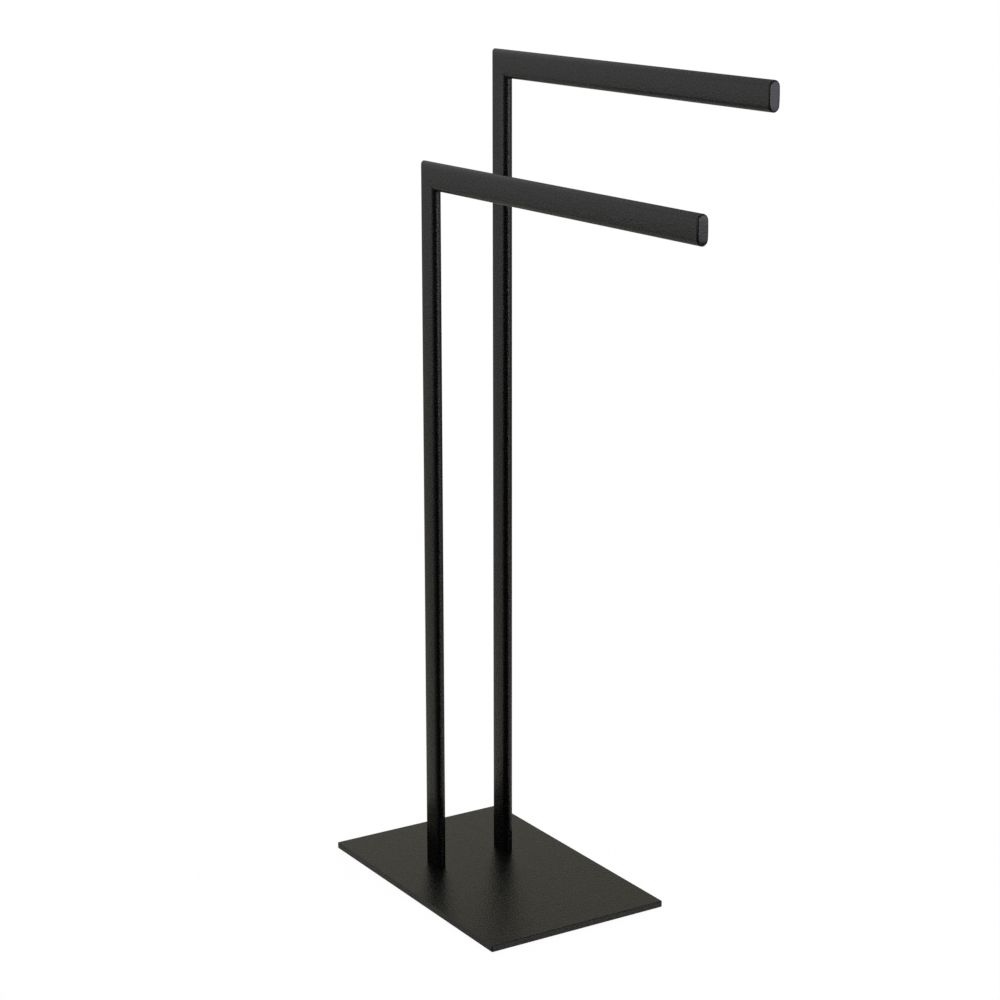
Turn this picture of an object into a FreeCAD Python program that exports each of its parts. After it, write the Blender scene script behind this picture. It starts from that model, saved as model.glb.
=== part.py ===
import FreeCAD, Part
import math
import os

from FreeCAD import Vector

# Freestanding towel stand: two L-shaped frames of flat-oval tube on a steel base plate.
# Millimetres. +Z is up from the floor, and the arms point along +X, side by side in Y.
# The origin is on the floor, in the middle of the stand's overall length and width.

# ---- base plate ----
base_length = 312.0  # along X
base_width = 203.0  # along Y
base_thickness = 6.5
base_corner_radius = 1.5  # the four upright edges
base_edge_radius = 0.8  # the edges round the top and the bottom face

# ---- rubber feet ----
foot_diameter = 20.0
foot_height = 2.0
foot_edge_radius = 0.5
foot_inset = 20.0  # from the plate's edges to a foot's centre

# ---- flat-oval tube: flat sides and half-round edges ----
tube_depth = 27.5  # across the half-round edges
tube_thickness = 11.5  # across the flat sides
tube_wall = 1.2
mitre_corner_radius = 2.0  # where the welded corner is ground round

# ---- the two frames ----
lower_arm_top = 742.0  # above the floor
upper_arm_top = 847.0
lower_arm_reach = 457.0  # from the post's back edge to the end cap's face
upper_arm_reach = 443.5
post_spacing = 82.5  # between the posts' middle planes
post_setback = 92.0  # from the plate's left edge to the posts' back edge

# ---- end caps ----
cap_flange_thickness = 2.0
cap_edge_radius = 1.3
cap_shank_length = 18.0
cap_shank_wall = 1.5
cap_rib_height = 0.7
cap_rib_width = 1.2
cap_rib_count = 3
cap_clearance = 0.05  # between the ribs and the tube's bore, all round

# ---- threaded inserts, welded in the posts' feet ----
insert_length = 15.0
insert_clearance = 0.05  # between the insert and the tube's bore, all round

# ---- M5 countersunk socket screws ----
screw_diameter = 5.0
screw_length = 16.0  # over the head
screw_tip_chamfer = 0.7
head_diameter = 10.0
head_rim_height = 0.3  # the straight rim of the head, below its cone
socket_across_flats = 3.0
socket_depth = 2.0
thread_clearance = 0.05  # between the screw and the insert's bore, all round
hole_clearance = 0.25  # between the screw and the plate's hole, all round
head_clearance = 0.1  # between the head and its countersink, square to both
head_recess = 0.2  # how far the head sits above the plate's underside

# How far a cutting shape reaches past what it cuts.
overcut = 5.0

# ---- places that follow from the sizes ----
overall_length = max(base_length, post_setback + max(lower_arm_reach, upper_arm_reach))
base_left_x = -overall_length / 2
base_right_x = base_left_x + base_length
base_bottom_z = foot_height
base_top_z = base_bottom_z + base_thickness
post_back_x = base_left_x + post_setback
post_middle_x = post_back_x + tube_depth / 2
bore_depth = tube_depth - 2 * tube_wall
bore_thickness = tube_thickness - 2 * tube_wall
# A post's two screws stand on the axes of the tube's two half-round edges.
screw_offset_x = (tube_depth - tube_thickness) / 2
screw_head_z = base_bottom_z + head_recess


class Frame:
    """One L-shaped frame: where its middle plane lies, how high and how far it reaches."""

    def __init__(self, name, middle_y, arm_top_z, arm_reach):
        self.name = name
        self.middle_y = middle_y
        self.arm_top_z = arm_top_z
        self.arm_middle_z = arm_top_z - tube_depth / 2
        self.arm_end_x = post_back_x + arm_reach
        self.tube_end_x = self.arm_end_x - cap_flange_thickness


frames = (
    Frame("lower", -post_spacing / 2, lower_arm_top, lower_arm_reach),
    Frame("upper", post_spacing / 2, upper_arm_top, upper_arm_reach),
)


# ---- shapes ----
def oval_bar(depth, thickness, length):
    """A flat-oval bar from the origin up Z, its depth along X and its thickness along Y."""
    radius = thickness / 2
    flat = depth / 2 - radius
    near_left, near_right = Vector(-flat, -radius, 0), Vector(flat, -radius, 0)
    far_right, far_left = Vector(flat, radius, 0), Vector(-flat, radius, 0)
    edges = [
        Part.LineSegment(near_left, near_right).toShape(),
        Part.Arc(near_right, Vector(depth / 2, 0, 0), far_right).toShape(),
        Part.LineSegment(far_right, far_left).toShape(),
        Part.Arc(far_left, Vector(-depth / 2, 0, 0), near_left).toShape(),
    ]
    return Part.Face(Part.Wire(edges)).extrude(Vector(0, 0, length))


def upright_bar(depth, thickness, x, y, bottom_z, top_z):
    """A flat-oval bar standing up, centred on x and y."""
    bar = oval_bar(depth, thickness, top_z - bottom_z)
    bar.translate(Vector(x, y, bottom_z))
    return bar


def level_bar(depth, thickness, y, z, start_x, end_x):
    """A flat-oval bar lying along X, its depth upright, centred on y and z."""
    bar = oval_bar(depth, thickness, end_x - start_x)
    bar.rotate(Vector(0, 0, 0), Vector(0, 1, 0), 90)
    bar.translate(Vector(start_x, y, z))
    return bar


def prism_across(edges, middle_y):
    """The closed outline of edges, drawn in the XZ plane, made solid across a frame's tube."""
    width = tube_thickness + 2 * overcut
    face = Part.Face(Part.Wire(edges))
    face.translate(Vector(0, middle_y - width / 2, 0))
    return face.extrude(Vector(0, width, 0))


def half_beyond_mitre(frame, keeps_post):
    """The half of a frame's corner past the mitre: the arm's half to cut from the post, or the reverse."""
    left_x, right_x = post_back_x - overcut, post_back_x + tube_depth + overcut
    top_z, bottom_z = frame.arm_top_z + overcut, frame.arm_top_z - tube_depth - overcut
    square_corner = Vector(right_x, 0, top_z) if keeps_post else Vector(left_x, 0, bottom_z)
    outline = Part.makePolygon(
        [Vector(left_x, 0, top_z), Vector(right_x, 0, bottom_z), square_corner, Vector(left_x, 0, top_z)]
    )
    return prism_across(outline.Edges, frame.middle_y)


def outside_of_corner(frame):
    """What is ground off the frame's outer corner, so that it is round seen along Y."""
    radius = mitre_corner_radius
    x, z = post_back_x, frame.arm_top_z
    middle = Vector(x + radius * (1 - math.sqrt(0.5)), 0, z - radius * (1 - math.sqrt(0.5)))
    foot, head = Vector(x, 0, z - radius), Vector(x + radius, 0, z)
    outer = [
        head,
        Vector(x + radius, 0, z + overcut),
        Vector(x - overcut, 0, z + overcut),
        Vector(x - overcut, 0, z - radius),
        foot,
    ]
    edges = [Part.Arc(foot, middle, head).toShape()] + Part.makePolygon(outer).Edges
    return prism_across(edges, frame.middle_y)


# ---- pieces ----
def post(frame):
    """The upright tube: square on the plate, mitred at the top."""
    place = (post_middle_x, frame.middle_y, base_top_z, frame.arm_top_z)
    tube = upright_bar(tube_depth, tube_thickness, *place)
    tube = tube.cut(upright_bar(bore_depth, bore_thickness, *place))
    return tube.cut([half_beyond_mitre(frame, keeps_post=True), outside_of_corner(frame)])


def arm(frame):
    """The level tube: mitred at the post, square at its free end."""
    place = (frame.middle_y, frame.arm_middle_z, post_back_x, frame.tube_end_x)
    tube = level_bar(tube_depth, tube_thickness, *place)
    tube = tube.cut(level_bar(bore_depth, bore_thickness, *place))
    return tube.cut([half_beyond_mitre(frame, keeps_post=False), outside_of_corner(frame)])


def end_cap(frame):
    """A moulded cap: a round-edged flange on the tube's end, and a hollow ribbed shank in its bore."""
    y, z = frame.middle_y, frame.arm_middle_z
    flange = level_bar(tube_depth, tube_thickness, y, z, frame.tube_end_x, frame.arm_end_x)
    face_edges = [e for e in flange.Edges if e.BoundBox.XMin > frame.arm_end_x - cap_edge_radius]
    flange = flange.makeFillet(cap_edge_radius, face_edges)

    rib_depth, rib_thickness = bore_depth - 2 * cap_clearance, bore_thickness - 2 * cap_clearance
    shank_depth, shank_thickness = rib_depth - 2 * cap_rib_height, rib_thickness - 2 * cap_rib_height
    shank_end_x = frame.tube_end_x - cap_shank_length
    shank = level_bar(shank_depth, shank_thickness, y, z, shank_end_x, frame.tube_end_x)
    rib_pitch = cap_shank_length / (cap_rib_count + 1)
    ribs = []
    for number in range(1, cap_rib_count + 1):
        rib_x = frame.tube_end_x - number * rib_pitch
        ribs.append(
            level_bar(rib_depth, rib_thickness, y, z, rib_x - cap_rib_width / 2, rib_x + cap_rib_width / 2)
        )
    hollow = level_bar(
        shank_depth - 2 * cap_shank_wall,
        shank_thickness - 2 * cap_shank_wall,
        y,
        z,
        shank_end_x,
        frame.tube_end_x,
    )
    return flange.fuse([shank] + ribs).cut(hollow).removeSplitter()


def screw_xs():
    """Where a post's two screws stand along X, by their names."""
    return {"left": post_middle_x - screw_offset_x, "right": post_middle_x + screw_offset_x}


def insert(frame):
    """The tapped block in the post's foot, flush with the tube's end; its threads are plain bores."""
    block = upright_bar(
        bore_depth - 2 * insert_clearance,
        bore_thickness - 2 * insert_clearance,
        post_middle_x,
        frame.middle_y,
        base_top_z,
        base_top_z + insert_length,
    )
    bore_radius = screw_diameter / 2 + thread_clearance
    for x in screw_xs().values():
        bottom = Vector(x, frame.middle_y, base_top_z)
        block = block.cut(Part.makeCylinder(bore_radius, insert_length, bottom))
    return block


def screw(frame, x):
    """A countersunk socket screw, head down; its thread is a plain shank at full diameter."""
    shank_radius, head_radius = screw_diameter / 2, head_diameter / 2
    cone_height = head_radius - shank_radius
    cone_top = head_rim_height + cone_height
    straight = screw_length - cone_top - screw_tip_chamfer
    body = Part.makeCylinder(head_radius, head_rim_height)
    body = body.fuse(
        [
            Part.makeCone(head_radius, shank_radius, cone_height, Vector(0, 0, head_rim_height)),
            Part.makeCylinder(shank_radius, straight, Vector(0, 0, cone_top)),
            Part.makeCone(
                shank_radius,
                shank_radius - screw_tip_chamfer,
                screw_tip_chamfer,
                Vector(0, 0, cone_top + straight),
            ),
        ]
    ).removeSplitter()
    socket_radius = socket_across_flats / math.sqrt(3)
    corners = [
        Vector(socket_radius * math.cos(turn), socket_radius * math.sin(turn), 0)
        for turn in (math.radians(60 * number) for number in range(7))
    ]
    socket = Part.Face(Part.makePolygon(corners)).extrude(Vector(0, 0, socket_depth))
    body = body.cut(socket)
    body.translate(Vector(x, frame.middle_y, screw_head_z))
    return body


def countersunk_hole(x, y):
    """What is drilled out of the plate for one screw: the hole and the seat of its head."""
    hole_radius = screw_diameter / 2 + hole_clearance
    hole = Part.makeCylinder(
        hole_radius, base_thickness + 2 * overcut, Vector(x, y, base_bottom_z - overcut)
    )
    # A 45 degree cone moved out square to itself by a gap is wider by the gap times root two.
    seat_radius = head_diameter / 2 + head_clearance * math.sqrt(2)
    seat_rim_height = head_recess + head_rim_height
    rim = Part.makeCylinder(seat_radius, overcut + seat_rim_height, Vector(x, y, base_bottom_z - overcut))
    cone = Part.makeCone(
        seat_radius,
        hole_radius,
        seat_radius - hole_radius,
        Vector(x, y, base_bottom_z + seat_rim_height),
    )
    return hole.fuse([rim, cone])


def base_plate():
    """The plate, its upright edges rounded first and then the edges of both faces."""
    corner = Vector(base_left_x, -base_width / 2, base_bottom_z)
    plate = Part.makeBox(base_length, base_width, base_thickness, corner)
    upright = [e for e in plate.Edges if abs(e.tangentAt(e.FirstParameter).z) > 0.5]
    plate = plate.makeFillet(base_corner_radius, upright)
    level = [e for e in plate.Edges if e.BoundBox.ZLength < base_edge_radius]
    plate = plate.makeFillet(base_edge_radius, level)
    holes = [countersunk_hole(x, frame.middle_y) for frame in frames for x in screw_xs().values()]
    return plate.cut(holes)


def foot(x, y):
    """A rubber disc under the plate, its bottom edge rounded."""
    disc = Part.makeCylinder(foot_diameter / 2, foot_height, Vector(x, y, 0))
    bottom_edge = [e for e in disc.Edges if e.BoundBox.ZMax < foot_edge_radius]
    return disc.makeFillet(foot_edge_radius, bottom_edge)


# ---- the stand ----
def stand():
    """Every piece by its name."""
    pieces = {"base_plate": base_plate()}
    foot_xs = {"left": base_left_x + foot_inset, "right": base_right_x - foot_inset}
    foot_ys = {"front": foot_inset - base_width / 2, "back": base_width / 2 - foot_inset}
    for side_y, y in foot_ys.items():
        for side_x, x in foot_xs.items():
            pieces[f"foot_{side_y}_{side_x}"] = foot(x, y)
    for frame in frames:
        pieces[f"{frame.name}_post"] = post(frame)
        pieces[f"{frame.name}_arm"] = arm(frame)
        pieces[f"{frame.name}_arm_end_cap"] = end_cap(frame)
        pieces[f"{frame.name}_post_insert"] = insert(frame)
        for side, x in screw_xs().items():
            pieces[f"{frame.name}_post_screw_{side}"] = screw(frame, x)
    return pieces


os.makedirs("parts", exist_ok=True)
for name, shape in stand().items():
    shape.exportStep(f"parts/{name}.step")
    print(f"{name}: {len(shape.Solids)} solid, {shape.Volume:.1f} mm3, valid {shape.isValid()}")
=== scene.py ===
"""Freestanding towel stand: how its pieces look, the studio round it and the camera.

Sizes in the classes are millimetres, and become metres where a mesh is made. +Z is up from the floor, both
arms point along +X, and the lower frame stands at -Y, the side nearer to the camera.
"""

import logging
import math
from abc import ABC, abstractmethod
from collections.abc import Mapping, Sequence
from dataclasses import dataclass
from enum import Enum

import bmesh
import bpy
import numpy as np
from mathutils import Matrix, Vector
from numpy.typing import NDArray


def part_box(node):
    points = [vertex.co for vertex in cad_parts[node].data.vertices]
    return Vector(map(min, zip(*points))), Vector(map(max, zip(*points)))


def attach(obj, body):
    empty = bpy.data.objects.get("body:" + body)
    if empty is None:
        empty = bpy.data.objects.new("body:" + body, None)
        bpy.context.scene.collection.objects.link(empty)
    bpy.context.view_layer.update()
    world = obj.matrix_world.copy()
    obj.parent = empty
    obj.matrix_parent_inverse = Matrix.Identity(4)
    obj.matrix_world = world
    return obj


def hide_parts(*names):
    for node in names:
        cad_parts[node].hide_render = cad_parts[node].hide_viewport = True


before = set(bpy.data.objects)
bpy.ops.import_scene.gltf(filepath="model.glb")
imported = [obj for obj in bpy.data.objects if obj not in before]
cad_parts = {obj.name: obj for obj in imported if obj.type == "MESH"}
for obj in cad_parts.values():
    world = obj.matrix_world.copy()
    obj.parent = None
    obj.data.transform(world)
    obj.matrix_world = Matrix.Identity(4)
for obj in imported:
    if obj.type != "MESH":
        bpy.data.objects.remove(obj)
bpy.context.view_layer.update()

MM = 0.001
MERGE_MM = 1e-4

Array = NDArray[np.float64]
Faces = NDArray[np.int64]
Piece = bpy.types.Object
Tree = bpy.types.NodeTree
Socket = bpy.types.NodeSocket
Setting = float | Sequence[float] | Socket

log = logging.getLogger("towel_stand")


# ---- surfaces ----
@dataclass(frozen=True)
class Section:
    """A flat oval's outline, for any radius of its round edges.

    A circle of that radius is cut in half and its halves are pulled apart along the depth: a point lies at
    depth = half_straight * side + radius * cos(turn) and across = radius * sin(turn). Across then shrinks
    by crown * depth^2, which leaves the flat sides of a rolled tube very slightly crowned. With half_straight
    at 0 and no flat steps it is a plain circle.
    """

    half_straight: float = 0.0
    arc_steps: int = 24
    flat_steps: int = 0
    crown: float = 0.0

    def columns(self) -> tuple[Array, Array]:
        """Which half each point belongs to and how far round it lies, once round the outline.

        Returns:
            Two arrays of one number per column: side, from -1 to 1, and turn in radians.
        """
        near = np.linspace(-0.5, 0.5, self.arc_steps, endpoint=False) * math.pi
        along = np.linspace(1.0, -1.0, self.flat_steps, endpoint=False)
        arc, flat = np.ones(self.arc_steps), np.ones(self.flat_steps)
        side = np.concatenate([arc, along, -arc, -along])
        turn = np.concatenate([near, flat * 0.5 * math.pi, near + math.pi, flat * 1.5 * math.pi])
        return side, turn

    def outline(self, radius: Array) -> tuple[Array, Array]:
        """The outline's points for each row's radius.

        Args:
            radius: one radius per row, or one per row and column, in millimetres.

        Returns:
            Two arrays of rows by columns: depth and across, in millimetres.
        """
        side, turn = self.columns()
        wide = radius.reshape(len(radius), -1)
        depth = self.half_straight * side + wide * np.cos(turn)
        return depth, wide * np.sin(turn) * (1.0 - self.crown * depth**2)


def quads(rows: int, columns: int, ring: bool) -> Faces:
    """The four corners of each face of a grid whose columns go round.

    Args:
        rows: how many rows of points the grid has.
        columns: how many points each row has.
        ring: whether the last row joins the first, too.

    Returns:
        An array of faces by four point numbers.
    """
    index = np.arange(rows * columns).reshape(rows, columns)
    if ring:
        index = np.vstack([index, index[:1]])
    beside = np.roll(index, -1, axis=1)
    return np.stack([index[:-1], beside[:-1], beside[1:], index[1:]], axis=-1).reshape(-1, 4)


def enclosed_volume(points: Array, faces: Faces) -> float:
    """The volume that the faces enclose, below 0 where they point inwards.

    It is the sum over the faces' triangles of a . (b x c) / 6.

    Args:
        points: the corners' places, one per row.
        faces: four point numbers per face.

    Returns:
        The volume, in the cube of the points' unit.
    """
    a, b, c, d = (points[faces[:, corner]] for corner in range(4))
    halves = (np.einsum("ij,ij->", a, np.cross(b, c)), np.einsum("ij,ij->", a, np.cross(c, d)))
    return float(sum(halves)) / 6


def skin(
    name: str,
    grid: Array,
    ring: bool = False,
    sharp_angle: float = 35.0,
    marks: Mapping[str, Array] | None = None,
) -> Piece:
    """Makes a closed, smooth-shaded piece from a grid of points.

    Args:
        name: the piece's name.
        grid: rows by columns by 3, in millimetres; each row goes once round.
        ring: whether the last row joins the first; otherwise both end on a point or a line.
        sharp_angle: edges that turn by more degrees than this shade as sharp.
        marks: float attributes that a finish reads, rows by columns each.

    Returns:
        The new object, at the origin, with its place in its mesh.
    """
    points = grid.reshape(-1, 3)
    faces = quads(grid.shape[0], grid.shape[1], ring)
    if enclosed_volume(points, faces) < 0:
        faces = faces[:, ::-1]
    mesh = bpy.data.meshes.new(name)
    mesh.from_pydata(points * MM, [], faces)
    for mark, values in (marks or {}).items():
        layer = mesh.attributes.new(mark, "FLOAT", "POINT")
        layer.data.foreach_set("value", values.ravel().astype(np.float32))
    # Rows that end on a point or a line fold up there; merging their points closes the surface.
    shell = bmesh.new()
    shell.from_mesh(mesh)
    bmesh.ops.remove_doubles(shell, verts=shell.verts, dist=MERGE_MM * MM)
    shell.to_mesh(mesh)
    shell.free()
    mesh.shade_smooth()
    mesh.set_sharp_from_angle(angle=math.radians(sharp_angle))
    piece = bpy.data.objects.new(name, mesh)
    bpy.context.scene.collection.objects.link(piece)
    # Flat faces keep flat shading right up to the round edges beside them.
    even = piece.modifiers.new("even_shading", "WEIGHTED_NORMAL")
    even.keep_sharp = True
    return piece


def smooth_step(value: Array) -> Array:
    """0 below 0, 1 above 1, and 3v^2 - 2v^3 between, without a kink."""
    held = np.clip(value, 0.0, 1.0)
    return held * held * (3.0 - 2.0 * held)


def quarter_round(start: tuple[float, float], end: tuple[float, float], steps: int) -> Array:
    """A quarter of an ellipse between two points, leaving the first along the first number.

    A point lies at start + (end - start) * (sin(turn), 1 - cos(turn)), turn going from 0 to 90 degrees.

    Args:
        start: where it begins.
        end: where it ends.
        steps: how many stretches it is divided into.

    Returns:
        An array of steps + 1 rows by 2.
    """
    turn = np.linspace(0.0, math.pi / 2, steps + 1)[:, None]
    reach = np.subtract(end, start)
    return np.asarray(start) + reach * np.hstack([np.sin(turn), 1.0 - np.cos(turn)])


# ---- materials ----
def linear(hex_colour: str) -> tuple[float, float, float, float]:
    """An sRGB hex colour as linear red, green, blue and alpha."""
    parts = (int(hex_colour[at : at + 2], 16) / 255 for at in (1, 3, 5))
    return (*(p / 12.92 if p <= 0.04045 else ((p + 0.055) / 1.055) ** 2.4 for p in parts), 1.0)


def add_node(
    tree: Tree,
    kind: str,
    inputs: Mapping[str | int, Setting] | None = None,
    **settings: object,
) -> bpy.types.Node:
    """Adds a node, sets its options, and links or sets its inputs.

    Args:
        tree: the tree it goes into.
        kind: the node's type.
        inputs: a value or another node's output for each named or numbered input.
        **settings: the node's own options.

    Returns:
        The new node.
    """
    node = tree.nodes.new(kind)
    for option, value in settings.items():
        setattr(node, option, value)
    for key, value in (inputs or {}).items():
        if isinstance(value, Socket):
            tree.links.new(value, node.inputs[key])
        else:
            node.inputs[key].default_value = value
    return node


def per_metre(size_mm: float) -> float:
    """The scale of a noise whose bumps are about size_mm apart."""
    return 1.0 / (size_mm * MM)


@dataclass(frozen=True)
class Finish(ABC):
    """A real surface finish, made as one material."""

    name: str

    def material(self) -> bpy.types.Material:
        """Makes the finish's material when it is first asked for.

        Returns:
            The material.
        """
        known = bpy.data.materials.get(self.name)
        if known:
            return known
        material = bpy.data.materials.new(self.name)
        material.use_nodes = True
        tree = material.node_tree
        tree.nodes.clear()
        surface = self.surface(tree)
        add_node(tree, "ShaderNodeOutputMaterial", {"Surface": surface})
        return material

    @abstractmethod
    def surface(self, tree: Tree) -> Socket:
        """Builds the finish's nodes and returns its shader."""

    def noise(self, tree: Tree, size_mm: float, detail: float = 2.0) -> Socket:
        """Makes an even noise in space.

        Args:
            tree: the material's tree.
            size_mm: how far apart its bumps are.
            detail: how many finer layers it has.

        Returns:
            The noise, from 0 to 1.
        """
        place = add_node(tree, "ShaderNodeTexCoord").outputs["Object"]
        inputs = {"Vector": place, "Scale": per_metre(size_mm), "Detail": detail}
        return add_node(tree, "ShaderNodeTexNoise", inputs).outputs["Fac"]

    def spread(self, tree: Tree, value: Socket, low: float, high: float) -> Socket:
        """Noise's usual 0.3 to 0.7 spread from low to high."""
        inputs = {"Value": value, "From Min": 0.3, "From Max": 0.7, "To Min": low, "To Max": high}
        return add_node(tree, "ShaderNodeMapRange", inputs).outputs["Result"]

    def blend(self, tree: Tree, share: Socket, first: str, second: str) -> Socket:
        """The first hex colour where share is 0, the second where it is 1."""
        inputs = {0: share, 6: linear(first), 7: linear(second)}
        return add_node(tree, "ShaderNodeMix", inputs, data_type="RGBA").outputs[2]

    def inset(self, tree: Tree, low: Vector, high: Vector) -> Socket:
        """Finds how far each place is inside a box's sides: half its size less the way from its middle.

        Args:
            tree: the material's tree.
            low: the box's lowest corner.
            high: its highest corner.

        Returns:
            The way to the nearer side along each axis, in millimetres, below 0 outside.
        """
        place = add_node(tree, "ShaderNodeTexCoord").outputs["Object"]
        outwards = add_node(
            tree, "ShaderNodeVectorMath", {0: place, 1: (low + high) / 2}, operation="SUBTRACT"
        ).outputs[0]
        distance = add_node(tree, "ShaderNodeVectorMath", {0: outwards}, operation="ABSOLUTE").outputs[0]
        inside = add_node(
            tree, "ShaderNodeVectorMath", {0: (high - low) / 2, 1: distance}, operation="SUBTRACT"
        ).outputs[0]
        return add_node(
            tree, "ShaderNodeVectorMath", {0: inside, "Scale": 1 / MM}, operation="SCALE"
        ).outputs[0]

    def step(self, tree: Tree, value: Socket, start: tuple[float, float], end: tuple[float, float]) -> Socket:
        """Makes a smooth step.

        Args:
            tree: the material's tree.
            value: what it follows.
            start: a value and what it gives there and below.
            end: a value and what it gives there and beyond.

        Returns:
            The step.
        """
        inputs = {"Value": value, "From Min": start[0], "From Max": end[0]}
        inputs |= {"To Min": start[1], "To Max": end[1]}
        return add_node(
            tree, "ShaderNodeMapRange", inputs, interpolation_type="SMOOTHSTEP"
        ).outputs["Result"]

    def raised(self, tree: Tree, height: Socket, height_mm: float, under: Socket | None = None) -> Socket:
        """Bumps the surface.

        Args:
            tree: the material's tree.
            height: the pattern that it follows, from 0 to 1.
            height_mm: how high the bumps are.
            under: a normal that it lies over.

        Returns:
            The bumped normal.
        """
        inputs: dict[str | int, Setting] = {"Height": height, "Strength": 1.0, "Distance": height_mm * MM}
        if under:
            inputs["Normal"] = under
        return add_node(tree, "ShaderNodeBump", inputs).outputs["Normal"]


class CoatEdges(Enum):
    """What tells the powder coat where its piece's edges are."""

    TUBE = "the tube's own distances from its cut end and from its mitre"
    PLATE = "the plate's box"


@dataclass(frozen=True)
class PowderCoat(Finish):
    """Semi-matte black polyester powder coat, sprayed and baked on steel.

    It gives the eye a near-black colour under a soft, blurred gloss. The gloss is broken by a fine grain and
    by the slow waves of the melted powder, and where the coat draws back from a sharp edge it is thinner.
    """

    edges: CoatEdges
    full: str = "#050505"
    thin: str = "#0d0c0b"
    roughness_low: float = 0.21
    roughness_high: float = 0.29
    # The real grain is about 0.4 mm apart. It is drawn about four times as coarse, so that it shows.
    grain_mm: float = 1.5
    grain_height_mm: float = 0.40
    wave_mm: float = 4.0
    wave_height_mm: float = 0.02
    edge_mm: float = 1.2
    weld_height_mm: float = 0.02

    def surface(self, tree: Tree) -> Socket:
        """Builds the coat's nodes.

        Args:
            tree: the material's tree.

        Returns:
            The shader.
        """
        grain = self.noise(tree, self.grain_mm, 3.0)
        wave = self.noise(tree, self.wave_mm, 1.0)
        edge, weld = self.edge_and_weld(tree)
        thinness = add_node(
            tree, "ShaderNodeMath", {0: self.spread(tree, grain, 0.0, 0.5), 1: edge}, operation="MAXIMUM"
        ).outputs[0]
        normal = self.raised(tree, wave, self.wave_height_mm)
        if weld:
            normal = self.raised(tree, weld, self.weld_height_mm, normal)
        normal = self.raised(tree, grain, self.grain_height_mm, normal)
        inputs = {
            "Base Color": self.blend(tree, thinness, self.full, self.thin),
            "Roughness": self.spread(tree, grain, self.roughness_low, self.roughness_high),
            "IOR": 1.5,
            "Normal": normal,
        }
        return add_node(tree, "ShaderNodeBsdfPrincipled", inputs).outputs["BSDF"]

    def edge_and_weld(self, tree: Tree) -> tuple[Socket, Socket | None]:
        """How near the coat is to a sharp edge, and to the ground-down weld of a mitre.

        Args:
            tree: the material's tree.

        Returns:
            Two sockets from 0, away from it, to 1, on it; the plate has no weld.
        """
        if self.edges is CoatEdges.TUBE:
            rim = add_node(tree, "ShaderNodeAttribute", attribute_name="from_cut_end").outputs["Fac"]
            mitre = add_node(tree, "ShaderNodeAttribute", attribute_name="from_mitre").outputs["Fac"]
            near, far = (0.0, 1.0), (self.edge_mm, 0.0)
            return self.step(tree, rim, near, far), self.step(tree, mitre, near, far)
        inset = add_node(tree, "ShaderNodeSeparateXYZ", {0: self.inset(tree, *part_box("base_plate"))})
        shallower = add_node(
            tree, "ShaderNodeMath", {0: inset.outputs["X"], 1: inset.outputs["Y"]}, operation="MINIMUM"
        ).outputs[0]
        return self.step(tree, shallower, (0.0, 1.0), (self.edge_mm, 0.0)), None


@dataclass(frozen=True)
class MouldedPlastic(Finish):
    """Black nylon, injection-moulded against a spark-eroded wall.

    It gives the eye a satin black a little brighter and more even than the coat beside it, with a fine,
    shallow leather of the mould and the soft sink marks of a thick moulding.
    """

    colour: str = "#050506"
    flow: str = "#09090a"
    roughness_low: float = 0.12
    roughness_high: float = 0.18
    # A spark-eroded grain is about 0.1 mm apart. It is drawn at 1.6 mm, so that it shows.
    grain_mm: float = 1.6
    grain_height_mm: float = 0.07
    sink_mm: float = 6.0
    sink_height_mm: float = 0.01

    def surface(self, tree: Tree) -> Socket:
        """Builds the plastic's nodes.

        Args:
            tree: the material's tree.

        Returns:
            The shader.
        """
        grain = self.noise(tree, self.grain_mm, 2.0)
        sink = self.noise(tree, self.sink_mm, 0.0)
        sunk = self.raised(tree, sink, self.sink_height_mm)
        inputs = {
            "Base Color": self.blend(tree, self.spread(tree, sink, 0.0, 1.0), self.colour, self.flow),
            "Roughness": self.spread(tree, grain, self.roughness_low, self.roughness_high),
            "IOR": 1.53,
            "Normal": self.raised(tree, grain, self.grain_height_mm, sunk),
        }
        return add_node(tree, "ShaderNodeBsdfPrincipled", inputs).outputs["BSDF"]


@dataclass(frozen=True)
class BlackOxideSteel(Finish):
    """Alloy steel, headed and thread-rolled, then blackened in a hot salt bath and oiled.

    It gives the eye a dark blue-grey metal whose oxide is blotched brown and whose sheen varies with the oil.
    """

    oxide: str = "#3a3b3f"
    brown: str = "#463c35"
    roughness_low: float = 0.28
    roughness_high: float = 0.46
    blotch_mm: float = 2.5
    scratch_mm: float = 0.25
    scratch_height_mm: float = 0.004

    def surface(self, tree: Tree) -> Socket:
        """Builds the blackened steel's nodes.

        Args:
            tree: the material's tree.

        Returns:
            The shader.
        """
        blotch = self.noise(tree, self.blotch_mm, 4.0)
        scratch = self.noise(tree, self.scratch_mm, 2.0)
        inputs = {
            "Base Color": self.blend(tree, self.spread(tree, blotch, 0.0, 1.0), self.oxide, self.brown),
            "Metallic": 1.0,
            "Roughness": self.spread(tree, blotch, self.roughness_low, self.roughness_high),
            "Normal": self.raised(tree, scratch, self.scratch_height_mm),
        }
        return add_node(tree, "ShaderNodeBsdfPrincipled", inputs).outputs["BSDF"]


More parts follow.
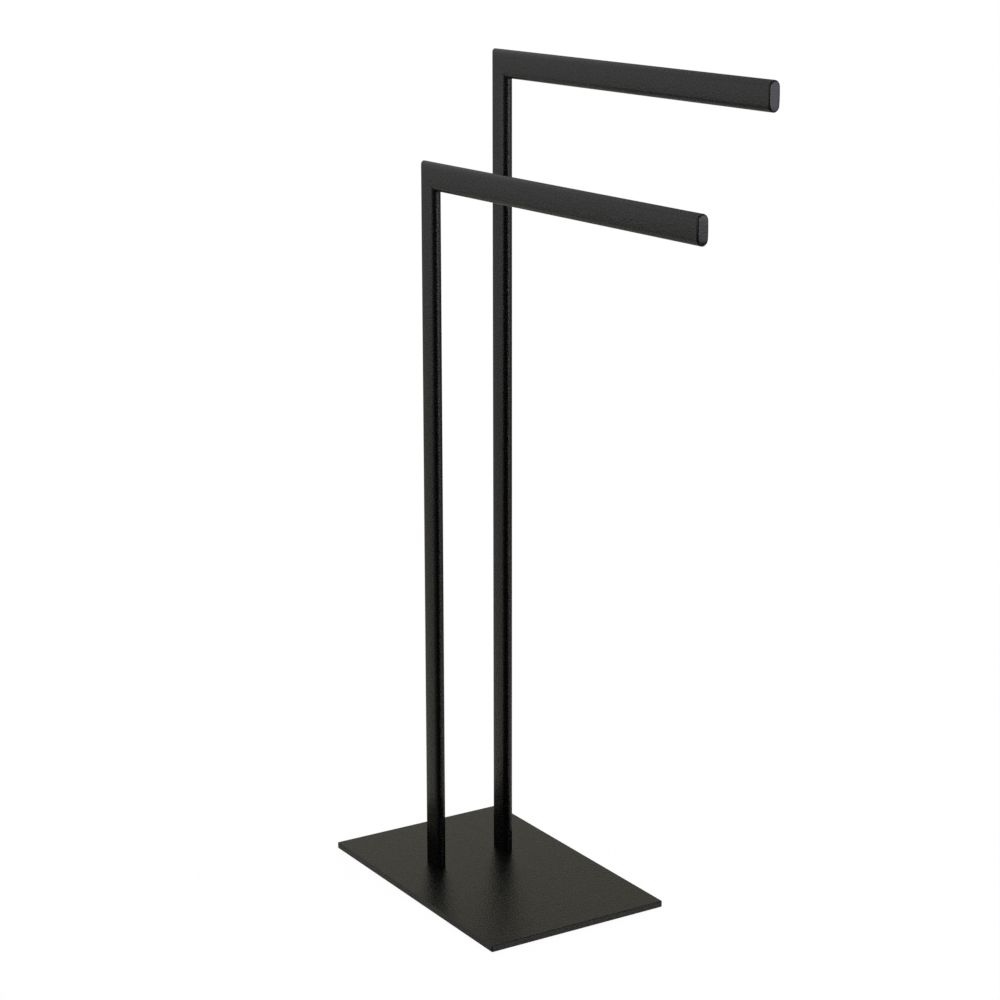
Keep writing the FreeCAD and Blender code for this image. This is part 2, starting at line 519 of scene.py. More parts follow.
@dataclass(frozen=True)
class MilledSteel(Finish):
    """Plain mild steel, milled to a block and tapped.

    It gives the eye a light grey metal with fine, parallel cutter marks and a faint straw tint from welding.
    """

    steel: str = "#b4b1ab"
    straw: str = "#a89878"
    straw_mm: float = 8.0
    straw_share: float = 0.6
    roughness_low: float = 0.26
    roughness_high: float = 0.42
    mark_mm: float = 0.35
    mark_height_mm: float = 0.006
    # The cutter runs round the block, so its marks are long in the level and close up the block.
    mark_squeeze: tuple[float, float, float] = (0.06, 0.06, 1.0)

    def surface(self, tree: Tree) -> Socket:
        """Builds the milled steel's nodes.

        Args:
            tree: the material's tree.

        Returns:
            The shader.
        """
        place = add_node(tree, "ShaderNodeTexCoord").outputs["Object"]
        drawn_out = add_node(tree, "ShaderNodeMapping", {"Vector": place, "Scale": self.mark_squeeze})
        marks = {"Vector": drawn_out.outputs[0], "Scale": per_metre(self.mark_mm), "Detail": 2.0}
        mark = add_node(tree, "ShaderNodeTexNoise", marks).outputs["Fac"]
        tint = self.spread(tree, self.noise(tree, self.straw_mm), 0.0, self.straw_share)
        inputs = {
            "Base Color": self.blend(tree, tint, self.steel, self.straw),
            "Metallic": 1.0,
            "Roughness": self.spread(tree, mark, self.roughness_low, self.roughness_high),
            "Normal": self.raised(tree, mark, self.mark_height_mm),
        }
        return add_node(tree, "ShaderNodeBsdfPrincipled", inputs).outputs["BSDF"]


@dataclass(frozen=True)
class MouldedRubber(Finish):
    """Black rubber, compression-moulded in a blasted mould.

    It gives the eye a flat dark grey with no clear gloss, and a fine pebble that the light rakes over.
    """

    rubber: str = "#161616"
    bloom: str = "#23221f"
    bloom_mm: float = 7.0
    roughness_low: float = 0.68
    roughness_high: float = 0.86
    pebble_mm: float = 0.6
    pebble_height_mm: float = 0.03

    def surface(self, tree: Tree) -> Socket:
        """Builds the rubber's nodes.

        Args:
            tree: the material's tree.

        Returns:
            The shader.
        """
        pebble = self.noise(tree, self.pebble_mm, 3.0)
        bloom = self.spread(tree, self.noise(tree, self.bloom_mm, 3.0), 0.0, 1.0)
        inputs = {
            "Base Color": self.blend(tree, bloom, self.rubber, self.bloom),
            "Roughness": self.spread(tree, pebble, self.roughness_low, self.roughness_high),
            "IOR": 1.52,
            "Normal": self.raised(tree, pebble, self.pebble_height_mm),
        }
        return add_node(tree, "ShaderNodeBsdfPrincipled", inputs).outputs["BSDF"]


TUBE_COAT = PowderCoat("black_powder_coat_on_tube", CoatEdges.TUBE)
# The plate looks a little duller and coarser than the tubes.
PLATE_COAT = PowderCoat(
    "black_powder_coat_on_plate",
    CoatEdges.PLATE,
    roughness_low=0.26,
    roughness_high=0.34,
    grain_mm=1.8,
    grain_height_mm=0.34,
)
CAP_PLASTIC = MouldedPlastic("black_moulded_nylon")
SCREW_STEEL = BlackOxideSteel("black_oxide_steel")
INSERT_STEEL = MilledSteel("milled_mild_steel")
FOOT_RUBBER = MouldedRubber("black_moulded_rubber")


# ---- pieces ----
# How much thinner the tube gets per square millimetre away from the middle of its flat sides.
SIDE_CROWN = 0.0006


def dress_node(node: str, finish: Finish) -> None:
    """Gives a carried-over CAD node its finish.

    Args:
        node: the CAD node.
        finish: what it is made of.
    """
    for material_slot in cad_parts[node].material_slots:
        material_slot.material = finish.material()
    log.info("%s keeps its CAD shape, in %s", node, finish.name)


def stand_in(piece: Piece, node: str, finish: Finish) -> None:
    """Lets a new piece take a CAD node's place, in its finish.

    Args:
        piece: the new piece.
        node: the CAD node that it replaces.
        finish: what it is made of.
    """
    piece.data.materials.append(finish.material())
    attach(piece, "root")
    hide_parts(node)
    log.info("%s takes the place of %s, in %s", piece.name, node, finish.name)


class Limb(Enum):
    """The two tubes of a frame."""

    POST = "post"
    ARM = "arm"


class Tier(Enum):
    """The two frames, by the word their nodes' names begin with."""

    LOWER = "lower"
    UPPER = "upper"


@dataclass(frozen=True)
class ArmEnd:
    """Where an arm's tube stops: its end's middle, its outline and how far its cap stands out, in mm."""

    x: float
    y: float
    z: float
    half_straight: float
    radius: float
    flange: float


@dataclass(frozen=True)
class EndCap:
    """A moulded cap that closes an arm: a round-edged flange and a finned shank in the tube's bore."""

    tier: Tier
    edge_radius: float = 1.4
    back_radius: float = 0.5
    crown: float = 0.12
    wall: float = 1.5
    shank_length: float = 18.0
    shank_radius: float = 3.8
    fin_radius: float = 4.5
    fin_width: float = 1.2
    fin_count: int = 3
    tip_chamfer: float = 0.4
    back_steps: int = 3
    edge_steps: int = 10
    dome_rings: int = 6

    def profile(self, flange: float, radius: float) -> Array:
        """The line that is carried round the cap, from the hollow's floor to the middle of the face.

        The hollow, the shank with its fins, the flange's small back radius, its larger face radius and then
        a face that rises by the crown towards the middle, as 1 - (radius / face radius)^2.

        Args:
            flange: how far the face stands out from the tube's end.
            radius: the round edges' radius at the flange.

        Returns:
            Rows by 2: the place along the arm from the tube's end, and the radius.
        """
        hollow, tip = self.shank_radius - self.wall, -self.shank_length
        line = [(0.0, 0.0), (0.0, hollow), (tip, hollow)]
        line += [(tip, self.shank_radius - self.tip_chamfer), (self.tip_chamfer + tip, self.shank_radius)]
        pitch = self.shank_length / (self.fin_count + 1)
        for number in range(self.fin_count, 0, -1):
            middle, half = -number * pitch, self.fin_width / 2
            line += [(middle - half, self.shank_radius), (middle, self.fin_radius)]
            line += [(middle + half, self.fin_radius), (middle + half, self.shank_radius)]
        line += [(0.0, self.shank_radius)]
        back_start, back_end = (radius - self.back_radius, 0.0), (radius, self.back_radius)
        back = quarter_round(back_start, back_end, self.back_steps)[:, ::-1]
        face_x, face_radius = flange - self.crown, radius - self.edge_radius
        front = quarter_round((face_x - self.edge_radius, radius), (face_x, face_radius), self.edge_steps)
        ring = np.linspace(1.0, 0.0, self.dome_rings + 1)[1:]
        dome = np.column_stack([face_x + self.crown * (1.0 - ring**2), face_radius * ring])
        return np.vstack([line, back, front, dome])

    def build(self, arm_end: ArmEnd) -> Piece:
        """Carries the profile round the flat oval.

        Args:
            arm_end: where the tube ends and its outline.

        Returns:
            The cap.
        """
        along, radius = self.profile(arm_end.flange, arm_end.radius).T
        section = Section(arm_end.half_straight, flat_steps=6, crown=SIDE_CROWN)
        depth, across = section.outline(radius)
        x = np.broadcast_to((arm_end.x + along)[:, None], depth.shape)
        grid = np.stack([x, arm_end.y + across, arm_end.z + depth], axis=-1)
        return skin(f"{self.tier.value}_arm_cap", grid)

    def dress(self, piece: Piece) -> None:
        """Gives the cap its plastic and its node's place."""
        stand_in(piece, f"{self.tier.value}_arm_end_cap", CAP_PLASTIC)


@dataclass(frozen=True)
class SocketScrew:
    """An M5 countersunk socket screw, standing head down."""

    tier: Tier
    side: str
    pitch: float = 0.8
    thread_depth: float = 0.49
    shank_radius: float = 2.5
    head_radius: float = 5.0
    rim_height: float = 0.3
    length: float = 16.0
    across_flats: float = 3.0
    socket_depth: float = 2.0
    socket_mouth_radius: float = 1.95
    drill_point: float = 0.6
    thread_start: float = 3.3
    rows_per_turn: int = 8
    tip_chamfer: float = 0.7

    def hexagon(self, turn: Array) -> Array:
        """The socket's outline: half the width across flats over the cosine of the turn from a flat."""
        sixth = math.pi / 3
        return self.across_flats / 2 / np.cos(np.mod(turn, sixth) - sixth / 2)

    def thread(self, height: Array, turn: Array) -> Array:
        """The thread's outline.

        It is the shank's radius less the depth times a triangle wave of height / pitch - turn / full turn,
        stretched to 1.35 and lowered by 0.15, then cut flat at 0 and 1, which are its crests and roots. It
        fades in over the first pitch.

        Args:
            height: rows by 1, above the head's face.
            turn: one angle per column.

        Returns:
            The radius, rows by columns.
        """
        phase = np.mod(height / self.pitch - turn / (2 * math.pi), 1.0)
        wave = np.clip(np.abs(2.0 * phase - 1.0) * 1.35 - 0.15, 0.0, 1.0)
        fade_in = smooth_step((height - self.thread_start) / self.pitch)
        return self.shank_radius - self.thread_depth * wave * fade_in

    def build(self) -> Piece:
        """Turns the screw's outline round its axis, from the socket's floor over the head to the tip.

        Returns:
            The screw.
        """
        low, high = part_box(f"{self.tier.value}_post_screw_{self.side}")
        x, y = (low.x + high.x) / 2 / MM, (low.y + high.y) / 2 / MM
        section = Section(arc_steps=24)
        turn = section.columns()[1]
        cone_top = self.rim_height + self.head_radius - self.shank_radius
        tip = self.length - self.tip_chamfer
        hexagon, circle = self.hexagon(turn), np.ones_like(turn)
        # The small steps beside an edge, here and at the neck, are its chamfers and fillets.
        plain = [
            (self.socket_depth + self.drill_point, circle * 0.0),
            (self.socket_depth, hexagon * 0.98),
            (self.socket_depth - 0.1, hexagon),
            (0.2, hexagon),
            (0.0, circle * self.socket_mouth_radius),
            (0.0, circle * (self.head_radius - 0.15)),
            (0.1, circle * self.head_radius),
            (self.rim_height, circle * self.head_radius),
            (cone_top - 0.2, circle * (self.shank_radius + 0.2)),
            (cone_top, circle * (self.shank_radius + 0.04)),
            (cone_top + 0.2, circle * self.shank_radius),
        ]
        turns = (tip - self.thread_start) / self.pitch
        height = np.linspace(self.thread_start, tip, round(turns * self.rows_per_turn))[:, None]
        tip_cone = [
            (self.length, circle * (self.shank_radius - self.tip_chamfer)),
            (self.length, circle * 0.0),
        ]
        heights = np.concatenate([[h for h, _ in plain], height[:, 0], [h for h, _ in tip_cone]])
        radius = np.vstack([[r for _, r in plain], self.thread(height, turn), [r for _, r in tip_cone]])
        depth, across = section.outline(radius)
        z = np.broadcast_to((low.z / MM + heights)[:, None], depth.shape)
        name = f"{self.tier.value}_post_{self.side}_socket_screw"
        return skin(name, np.stack([x + depth, y + across, z], axis=-1), sharp_angle=38.0)

    def dress(self, piece: Piece) -> None:
        """Gives the screw its steel and its node's place."""
        stand_in(piece, f"{self.tier.value}_post_screw_{self.side}", SCREW_STEEL)


@dataclass(frozen=True)
class TubeFrame:
    """One L of flat-oval tube, mitred, welded, ground and coated, with what closes and holds it."""

    tier: Tier
    wall: float = 1.2
    ground_radius: float = 0.9
    weld_radius: float = 0.8
    rim_radius: float = 0.4
    arc_steps: int = 22
    flat_steps: int = 8
    rim_rows: int = 4
    straight_rows: int = 34
    turn_rows: int = 7

    def corner(self) -> tuple[float, float, float]:
        """Finds where the middle lines of post and arm cross.

        Returns:
            Its x, y and z, in millimetres.
        """
        post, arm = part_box(f"{self.tier.value}_post"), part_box(f"{self.tier.value}_arm")
        x = (post[0].x + post[1].x) / 2 / MM
        y = (post[0].y + post[1].y) / 2 / MM
        return x, y, (arm[0].z + arm[1].z) / 2 / MM

    def outline_size(self) -> tuple[float, float]:
        """Reads the tube's outline off its CAD box.

        Returns:
            Half of its straight side and the radius of its round edges, in millimetres.
        """
        low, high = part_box(f"{self.tier.value}_post")
        radius = (high.y - low.y) / 2 / MM
        return (high.x - low.x) / 2 / MM - radius, radius

    def length(self, limb: Limb) -> float:
        """Finds how far a limb's cut end is from the corner.

        Args:
            limb: the post or the arm.

        Returns:
            The length along its middle line, in millimetres.
        """
        x, _, z = self.corner()
        if limb is Limb.POST:
            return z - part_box(f"{self.tier.value}_post")[0].z / MM
        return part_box(f"{self.tier.value}_arm")[1].x / MM - x

    def arm_end(self) -> ArmEnd:
        """Finds where the arm's tube stops and its cap begins.

        Returns:
            The end, for the cap to be built on.
        """
        x, y, z = self.corner()
        half_straight, radius = self.outline_size()
        end_x = x + self.length(Limb.ARM)
        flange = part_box(f"{self.tier.value}_arm_end_cap")[1].x / MM - end_x
        return ArmEnd(end_x, y, z, half_straight, radius, flange)

    def turn_radius(self, depth: Array, half_depth: float) -> Array:
        """How tightly a line along the tube turns at the mitre.

        It grows from the weld's small radius in the inner corner to the ground radius on the outer one, with
        a smooth step over the outer half of the depth.
        """
        share = smooth_step(depth / half_depth)
        return self.weld_radius + (self.ground_radius - self.weld_radius) * share

    def wall_face(self, radius: float, length: float, outside: bool) -> tuple[Array, Array, Array]:
        """One face of the tube's wall, from its cut end to the mitre.

        A line at a given depth runs straight to where its turn begins, at turn radius - depth from the
        corner, and then through 45 degrees of that turn, which ends on the mitre plane: its depth falls by
        r (1 - cos a) and its distance from the corner by r sin a.

        Args:
            radius: the round edges' radius at this face.
            length: how far the cut end is from the corner.
            outside: whether it is the outer face, which is crowned and has a rounded rim at the cut end.

        Returns:
            Rows by columns each: depth, across, and distance from the corner along the limb.
        """
        half_straight, outer = self.outline_size()
        crown = SIDE_CROWN if outside else 0.0
        section = Section(half_straight, self.arc_steps, self.flat_steps, crown)
        rim_start, rim_end = (radius - self.rim_radius, length), (radius, length - self.rim_radius)
        rim = quarter_round(rim_start, rim_end, self.rim_rows) if outside else np.array([(radius, length)])
        rim_depth, rim_across = section.outline(rim[:, 0])
        depth, across = section.outline(np.array([radius]))
        bend = self.turn_radius(depth, half_straight + outer)
        start, end = rim[-1, 1], bend - depth
        share = np.linspace(0.0, 1.0, self.straight_rows)[1:, None]
        straight = start + (end - start) * share
        angle = np.linspace(0.0, math.pi / 4, self.turn_rows)[1:, None]
        depths = [rim_depth, np.broadcast_to(depth, straight.shape), depth - bend * (1.0 - np.cos(angle))]
        along = [np.broadcast_to(rim[:, 1:], rim_depth.shape), straight, end - bend * np.sin(angle)]
        rows = len(straight) + len(angle)
        acrosses = [rim_across, np.broadcast_to(across, (rows, across.shape[1]))]
        return np.vstack(depths), np.vstack(acrosses), np.vstack(along)

    def build_limb(self, limb: Limb) -> Piece:
        """Joins the tube's outer face and its bore into one closed wall.

        Args:
            limb: the post or the arm.

        Returns:
            The tube.
        """
        x, y, z = self.corner()
        length, radius = self.length(limb), self.outline_size()[1]
        outside = self.wall_face(radius, length, outside=True)
        bore = self.wall_face(radius - self.wall, length, outside=False)
        depth, across, along = (np.vstack([out, inner[::-1]]) for out, inner in zip(outside, bore))
        if limb is Limb.POST:
            grid = np.stack([x - depth, y + across, z - along], axis=-1)
        else:
            grid = np.stack([x + along, y + across, z + depth], axis=-1)
        # Both distances change evenly along a flat face, so long faces carry them without error.
        marks = {"from_mitre": (along + depth) / math.sqrt(2), "from_cut_end": length - along}
        return skin(f"{self.tier.value}_{limb.value}_tube", grid, ring=True, marks=marks)

    def build_and_dress(self) -> None:
        """Builds the frame's tubes, cap and screws, and dresses them and its insert."""
        for limb in Limb:
            tube = self.build_limb(limb)
            stand_in(tube, f"{self.tier.value}_{limb.value}", TUBE_COAT)
        cap = EndCap(self.tier)
        cap.dress(cap.build(self.arm_end()))
        dress_node(f"{self.tier.value}_post_insert", INSERT_STEEL)
        for side in ("left", "right"):
            screw = SocketScrew(self.tier, side)
            screw.dress(screw.build())


@dataclass(frozen=True)
class Base:
    """The heavy plate and the rubber feet under it, which keep their CAD shapes."""

    feet: tuple[str, ...] = ("front_left", "front_right", "back_left", "back_right")

    def dress(self) -> None:
        """Gives the plate its coat and the feet their rubber."""
        dress_node("base_plate", PLATE_COAT)
        for foot in self.feet:
            dress_node(f"foot_{foot}", FOOT_RUBBER)


# ---- studio ----
@dataclass(frozen=True)
class Card:
    """A lit or dark panel of the studio that the coat mirrors.

    Azimuths are degrees from -Y towards +X. Heights are metres on the surround, and the glow is 1 for white.
    """

    glow: float
    azimuths: tuple[float, float]
    heights: tuple[float, float]
    soft_degrees: float = 8.0
    soft_height: float = 0.25
    colour: str = "#ffffff"

    def cover(self, azimuth: Array, height: Array) -> Array:
        """How much of each place the card covers: a smooth step in and out along both directions.

        Args:
            azimuth: one angle per column, in degrees.
            height: metres, for each row and column.

        Returns:
            From 0, beside it, to 1, on it, rows by columns.
        """
        middle, half = sum(self.azimuths) / 2, (self.azimuths[1] - self.azimuths[0]) / 2
        away = np.abs(np.mod(azimuth - middle + 180.0, 360.0) - 180.0)
        level = smooth_step((half - away) / self.soft_degrees + 0.5)
        above = smooth_step((height - self.heights[0]) / self.soft_height + 0.5)
        below = smooth_step((self.heights[1] - height) / self.soft_height + 0.5)
        return level * above * below


@dataclass(frozen=True)
class SurroundGlow(Finish):
    """The studio's walls, floor and cards, glowing with the painted light and shade in their colour
    attribute.

    The stand mirrors them at first hand. Where one of its faces mirrors another, such as at the posts' feet,
    they are as faint in it as they are in the photograph.
    """

    first_hand_depth: float = 1.2
    second_hand_depth: float = 1.8
    second_hand: float = 0.1

    def surface(self, tree: Tree) -> Socket:
        """Builds the glow's nodes.

        Args:
            tree: the material's tree.

        Returns:
            The shader.
        """
        glow = add_node(tree, "ShaderNodeAttribute", attribute_name="glow").outputs["Color"]
        # Painted shade: the glow that a face sees mirrored in another face is cut to a tenth.
        reflections = add_node(tree, "ShaderNodeLightPath").outputs["Glossy Depth"]
        first, second = (self.first_hand_depth, 1.0), (self.second_hand_depth, self.second_hand)
        strength = self.step(tree, reflections, first, second)
        return add_node(tree, "ShaderNodeEmission", {"Color": glow, "Strength": strength}).outputs[0]


def background_rays(tree: Tree) -> Socket:
    """Tells the rays that see the white page from the others.

    Args:
        tree: the floor's or the world's tree.

    Returns:
        1 for rays from the camera, off a gloss or through glass, and 0 for others.
    """
    rays = add_node(tree, "ShaderNodeLightPath")
    shown = add_node(
        tree,
        "ShaderNodeMath",
        {0: rays.outputs["Is Camera Ray"], 1: rays.outputs["Is Glossy Ray"]},
        operation="MAXIMUM",
    ).outputs[0]
    return add_node(
        tree, "ShaderNodeMath", {0: shown, 1: rays.outputs["Is Transmission Ray"]}, operation="MAXIMUM"
    ).outputs[0]


@dataclass(frozen=True)
class PaperFloor(Finish):
    """White background paper, lit to the page's white and fading into it at its rim.

    It gives the eye a plain white ground that keeps a faint shadow of the stand. The stand's gloss looks
    through it at the surround's own floor, and sees only a painted shade, a black glow left of its plate.
    """

    paper: str = "#f4f4f2"
    fibre: str = "#fbfbfa"
    fibre_mm: float = 3.0
    lift: float = 0.97
    rim_start: float = 0.9
    rim_end: float = 1.35
    # How far from the plate the painted shade begins and ends, and the x, in metres, where it fades out.
    shade_from_mm: tuple[float, float] = (10.0, 34.0)
    shade_to_mm: tuple[float, float] = (60.0, 90.0)
    shade_fade_x: tuple[float, float] = (-0.2, -0.1)

    def surface(self, tree: Tree) -> Socket:
        """Builds the paper's nodes.

        Args:
            tree: the material's tree.

        Returns:
            The shader.
        """
        place = add_node(tree, "ShaderNodeTexCoord").outputs["Object"]
        reach = add_node(tree, "ShaderNodeVectorMath", {0: place}, operation="LENGTH").outputs["Value"]
        lifted = self.step(tree, reach, (self.rim_start, self.lift), (self.rim_end, 1.0))
        fibres = self.spread(tree, self.noise(tree, self.fibre_mm, 3.0), 0.0, 1.0)
        colour = self.blend(tree, fibres, self.paper, self.fibre)
        sheet = add_node(tree, "ShaderNodeBsdfDiffuse", {"Color": colour}).outputs[0]
        white = add_node(tree, "ShaderNodeEmission", {"Color": linear("#ffffff"), "Strength": 1.0}).outputs[0]
        share = add_node(
            tree, "ShaderNodeMath", {0: lifted, 1: background_rays(tree)}, operation="MULTIPLY"
        ).outputs[0]
        page = add_node(tree, "ShaderNodeMixShader", {0: share, 1: sheet, 2: white}).outputs[0]
        rays = add_node(tree, "ShaderNodeLightPath")
        return add_node(
            tree, "ShaderNodeMixShader", {0: rays.outputs["Is Glossy Ray"], 1: page, 2: self.mirrored(tree)}
        ).outputs[0]

    def mirrored(self, tree: Tree) -> Socket:
        """Builds what the gloss sees of the floor: a painted shade left of the plate, and else the surround.

        Args:
            tree: the material's tree.

        Returns:
            The shader for glossy rays.
        """
        outside = add_node(
            tree,
            "ShaderNodeVectorMath",
            {0: self.inset(tree, *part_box("base_plate")), 1: (0.0, 0.0, 0.0)},
            operation="MINIMUM",
        ).outputs[0]
        away = add_node(tree, "ShaderNodeVectorMath", {0: outside}, operation="LENGTH").outputs["Value"]
        place = add_node(tree, "ShaderNodeTexCoord").outputs["Object"]
        sides = add_node(tree, "ShaderNodeSeparateXYZ", {0: place})
        full_x, clear_x = self.shade_fade_x
        left = self.step(tree, sides.outputs["X"], (full_x, 1.0), (clear_x, 0.0))
        begun = self.step(tree, away, (self.shade_from_mm[0], 0.0), (self.shade_from_mm[1], 1.0))
        ended = self.step(tree, away, (self.shade_to_mm[0], 1.0), (self.shade_to_mm[1], 0.0))
        ring = add_node(tree, "ShaderNodeMath", {0: begun, 1: ended}, operation="MULTIPLY").outputs[0]
        shade = add_node(tree, "ShaderNodeMath", {0: left, 1: ring}, operation="MULTIPLY").outputs[0]
        clear = add_node(tree, "ShaderNodeBsdfTransparent").outputs[0]
        # Painted shade: a black glow left of the plate, where the stand's shadow would lie for the gloss.
        dark = add_node(tree, "ShaderNodeEmission", {"Color": linear("#000000"), "Strength": 1.0}).outputs[0]
        return add_node(tree, "ShaderNodeMixShader", {0: shade, 1: clear, 2: dark}).outputs[0]


@dataclass(frozen=True)
class Studio:
    """A white page, a soft box overhead, and a surround of cards that only the stand's gloss sees."""

    floor_drop: float = 2e-4
    floor_rings: int = 10
    floor_columns: int = 72
    surround_radius: float = 4.2
    surround_low: float = -2.8
    surround_high: float = 5.0
    surround_rows: int = 240
    surround_columns: int = 180
    room_glow: float = 0.20
    cards: tuple[Card, ...] = (
        # The wall left of the camera, down to the studio's floor.
        Card(0.35, (-88.0, -8.0), (-1.5, 1.15), soft_degrees=20.0, soft_height=0.5),
        Card(0.42, (-88.0, -8.0), (-1.4, -0.45), soft_degrees=20.0, soft_height=0.8, colour="#fff9ea"),
        Card(1.50, (-50.5, -19.0), (0.15, 1.1), soft_degrees=14.0, soft_height=0.4),
        # Painted light: what the lamp throws on the wall and the ceiling above it, and on the back wall.
        Card(0.62, (-112.0, -38.0), (2.0, 4.4), soft_degrees=16.0, soft_height=0.5),
        Card(0.60, (-92.0, 0.0), (1.0, 1.9), soft_degrees=12.0, soft_height=0.4),
        Card(0.50, (-152.0, -98.0), (0.3, 1.83), soft_degrees=14.0, soft_height=0.5, colour="#fffbe2"),
        # The long soft box at the right, the dark room above it and the wall beyond it.
        Card(0.06, (60.0, 190.0), (1.3, 4.6), soft_height=0.5),
        Card(0.80, (132.0, 172.0), (0.0, 1.15), soft_degrees=16.0, soft_height=0.5),
        Card(2.05, (106.0, 134.0), (0.10, 1.15), soft_height=0.6, colour="#f4f4ff"),
        Card(5.40, (84.0, 107.0), (0.36, 1.15), soft_height=0.4),
        # The floor, with painted light near the stand and painted shade right beside its plate.
        Card(0.04, (84.0, 215.0), (-1.25, -0.10), soft_height=0.4, colour="#fff8ee"),
        Card(0.85, (-180.0, 84.0), (-3.5, -1.4), soft_height=0.3, colour="#fff4e2"),
        Card(2.80, (84.0, 180.0), (-3.5, -1.42), soft_height=0.25, colour="#fff8ee"),
        Card(0.24, (-180.0, 60.0), (-3.5, -1.75), soft_height=0.2),
        Card(0.34, (60.0, 180.0), (-3.5, -1.72), soft_height=0.15),
        # The dark ceiling, and the soft box in the middle of it.
        Card(0.10, (-190.0, 190.0), (4.4, 12.0), soft_height=1.0),
        Card(0.90, (-190.0, 190.0), (7.4, 12.0), soft_height=1.2),
        # The dark drape below the camera, and the dark flag behind it with the wall above.
        Card(0.01, (-57.5, 82.0), (-1.5, -0.25), soft_degrees=18.0, soft_height=0.4),
        Card(0.00, (2.0, 82.0), (-3.5, 1.2)),
        Card(0.45, (-10.0, 95.0), (1.35, 4.0), soft_degrees=16.0, soft_height=0.4),
    )
    fill: float = 0.55
    lamp_place: tuple[float, float, float] = (0.2, 0.5, 3.5)
    lamp_width: float = 4.0
    lamp_power: float = 70.0

    def build(self) -> None:
        """Puts up the page, the floor, the surround and the lamp."""
        self.light_page()
        self.lay_floor()
        self.raise_surround()
        self.hang_lamp()
        log.info("studio: floor, surround of %d cards and soft box", len(self.cards))

    def light_page(self) -> None:
        """Makes the world white behind everything, and a plain grey fill for the light it gives."""
        world = bpy.data.worlds.new("white_page")
        world.use_nodes = True
        tree = world.node_tree
        tree.nodes.clear()
        grey = (self.fill, self.fill, self.fill, 1.0)
        page = add_node(
            tree, "ShaderNodeMix", {0: background_rays(tree), 6: grey, 7: linear("#ffffff")}, data_type="RGBA"
        ).outputs[2]
        light = add_node(tree, "ShaderNodeBackground", {"Color": page, "Strength": 1.0}).outputs[0]
        add_node(tree, "ShaderNodeOutputWorld", {"Surface": light})
        bpy.context.scene.world = world

    def stage_piece(self, name: str, grid: Array, finish: Finish) -> Piece:
        """Makes an open surface that belongs to the studio, not to the stand.

        Args:
            name: its name.
            grid: rows by columns by 3, in metres.
            finish: its material.

        Returns:
            The new object.
        """
        mesh = bpy.data.meshes.new(name)
        mesh.from_pydata(grid.reshape(-1, 3), [], quads(grid.shape[0], grid.shape[1], ring=False))
        mesh.shade_smooth()
        mesh.materials.append(finish.material())
        piece = bpy.data.objects.new(name, mesh)
        bpy.context.scene.collection.objects.link(piece)
        return piece

    def lay_floor(self) -> None:
        """Lays the paper: a disc of rings, at radius * (cos turn, sin turn), a hair under the feet."""
        finish = PaperFloor("white_background_paper")
        radius = np.linspace(0.0, finish.rim_end, self.floor_rings)[:, None]
        turn = np.linspace(0.0, 2 * math.pi, self.floor_columns, endpoint=False)
        x, y = radius * np.cos(turn), radius * np.sin(turn)
        self.stage_piece("floor", np.stack([x, y, np.full_like(x, -self.floor_drop)], axis=-1), finish)

    def raise_surround(self) -> None:
        """Raises the surround, a closed drum, its glow painted card over card.

        A place's height runs on past the wall's top across the ceiling: the drum's z stops at the top, and
        its radius falls by what is left, down to the middle.
        """
        low, high = self.surround_low, self.surround_high
        wall = np.linspace(low, high + self.surround_radius, self.surround_rows)
        height = np.concatenate([[low], wall])[:, None]
        radius = np.minimum(self.surround_radius, high + self.surround_radius - height)
        radius[0] = 0.0
        azimuth = np.linspace(0.0, 360.0, self.surround_columns, endpoint=False)
        turn = np.radians(azimuth)
        x, y = radius * np.sin(turn), -radius * np.cos(turn)
        height = np.broadcast_to(height, x.shape)
        grid = np.stack([x, y, np.minimum(height, high)], axis=-1)
        glow = np.full((*x.shape, 3), self.room_glow)
        for card in self.cards:
            cover = card.cover(azimuth, height)[..., None]
            glow = glow * (1.0 - cover) + cover * card.glow * np.array(linear(card.colour)[:3])
        surround = self.stage_piece("studio_surround", grid, SurroundGlow("studio_surround_glow"))
        layer = surround.data.color_attributes.new("glow", "FLOAT_COLOR", "POINT")
        rgba = np.concatenate([glow, np.ones((*x.shape, 1))], axis=-1)
        layer.data.foreach_set("color", rgba.ravel().astype(np.float32))
        surround.data.materials[0].cycles.emission_sampling = "NONE"
        for kind in ("camera", "diffuse", "transmission", "volume_scatter", "shadow"):
            setattr(surround, f"visible_{kind}", False)

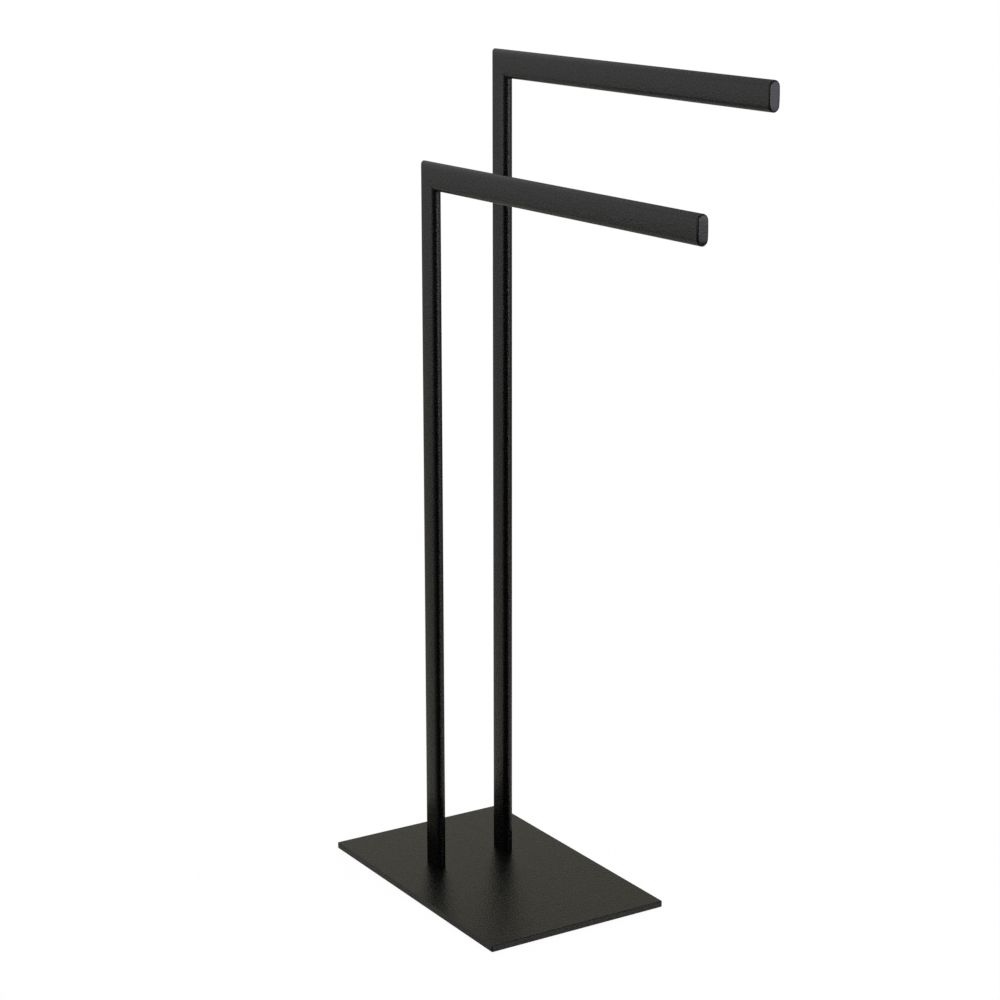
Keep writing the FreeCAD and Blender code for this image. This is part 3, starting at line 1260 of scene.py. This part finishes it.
    def hang_lamp(self) -> None:
        """Hangs a round soft box over the stand, a little behind it."""
        lamp = bpy.data.lights.new("soft_box", "AREA")
        lamp.shape = "DISK"
        lamp.size = self.lamp_width
        lamp.energy = self.lamp_power
        holder = bpy.data.objects.new("soft_box", lamp)
        holder.location = self.lamp_place
        holder.visible_camera = False
        # The coat mirrors the surround, where the lamp's light on the walls is painted.
        holder.visible_glossy = False
        bpy.context.scene.collection.objects.link(holder)


@dataclass(frozen=True)
class PhotoCamera:
    """The camera that took the photograph, found from the stand's edges in it.

    It looks from its place along yaw, degrees from +Y towards -X, and pitch, degrees below the horizon.
    """

    place: tuple[float, float, float] = (1908.2, -1269.5, 1021.6)
    yaw: float = 57.806
    pitch: float = 14.421
    roll: float = -0.069
    focal_pixels: float = 2468.4
    image_pixels: float = 1000.0
    sensor: float = 36.0
    clip: tuple[float, float] = (0.05, 100.0)

    def build(self) -> Piece:
        """Sets the camera up and makes it the scene's.

        Returns:
            The camera.
        """
        data = bpy.data.cameras.new("photo_camera")
        data.sensor_width = self.sensor
        data.lens = self.focal_pixels / self.image_pixels * self.sensor
        data.clip_start, data.clip_end = self.clip
        yaw, pitch, roll = (math.radians(angle) for angle in (self.yaw, self.pitch, self.roll))
        right = np.array([math.cos(yaw), math.sin(yaw), 0.0])
        ahead = np.array(
            [-math.sin(yaw) * math.cos(pitch), math.cos(yaw) * math.cos(pitch), -math.sin(pitch)]
        )
        up = np.cross(right, ahead)
        tilted_right = math.cos(roll) * right + math.sin(roll) * up
        tilted_up = -math.sin(roll) * right + math.cos(roll) * up
        pose = np.eye(4)
        pose[:3, :3] = np.column_stack([tilted_right, tilted_up, -ahead])
        pose[:3, 3] = np.array(self.place) * MM
        camera = bpy.data.objects.new("photo_camera", data)
        camera.matrix_world = Matrix(pose.tolist())
        bpy.context.scene.collection.objects.link(camera)
        bpy.context.scene.camera = camera
        return camera


def main() -> None:
    """Builds the camera, the studio and the stand, piece by piece."""
    logging.basicConfig(level=logging.INFO, format="%(name)s: %(message)s")
    bpy.context.scene.view_settings.view_transform = "Standard"
    PhotoCamera().build()
    Studio().build()
    Base().dress()
    for tier in Tier:
        TubeFrame(tier).build_and_dress()


if __name__ == "__main__":
    main()
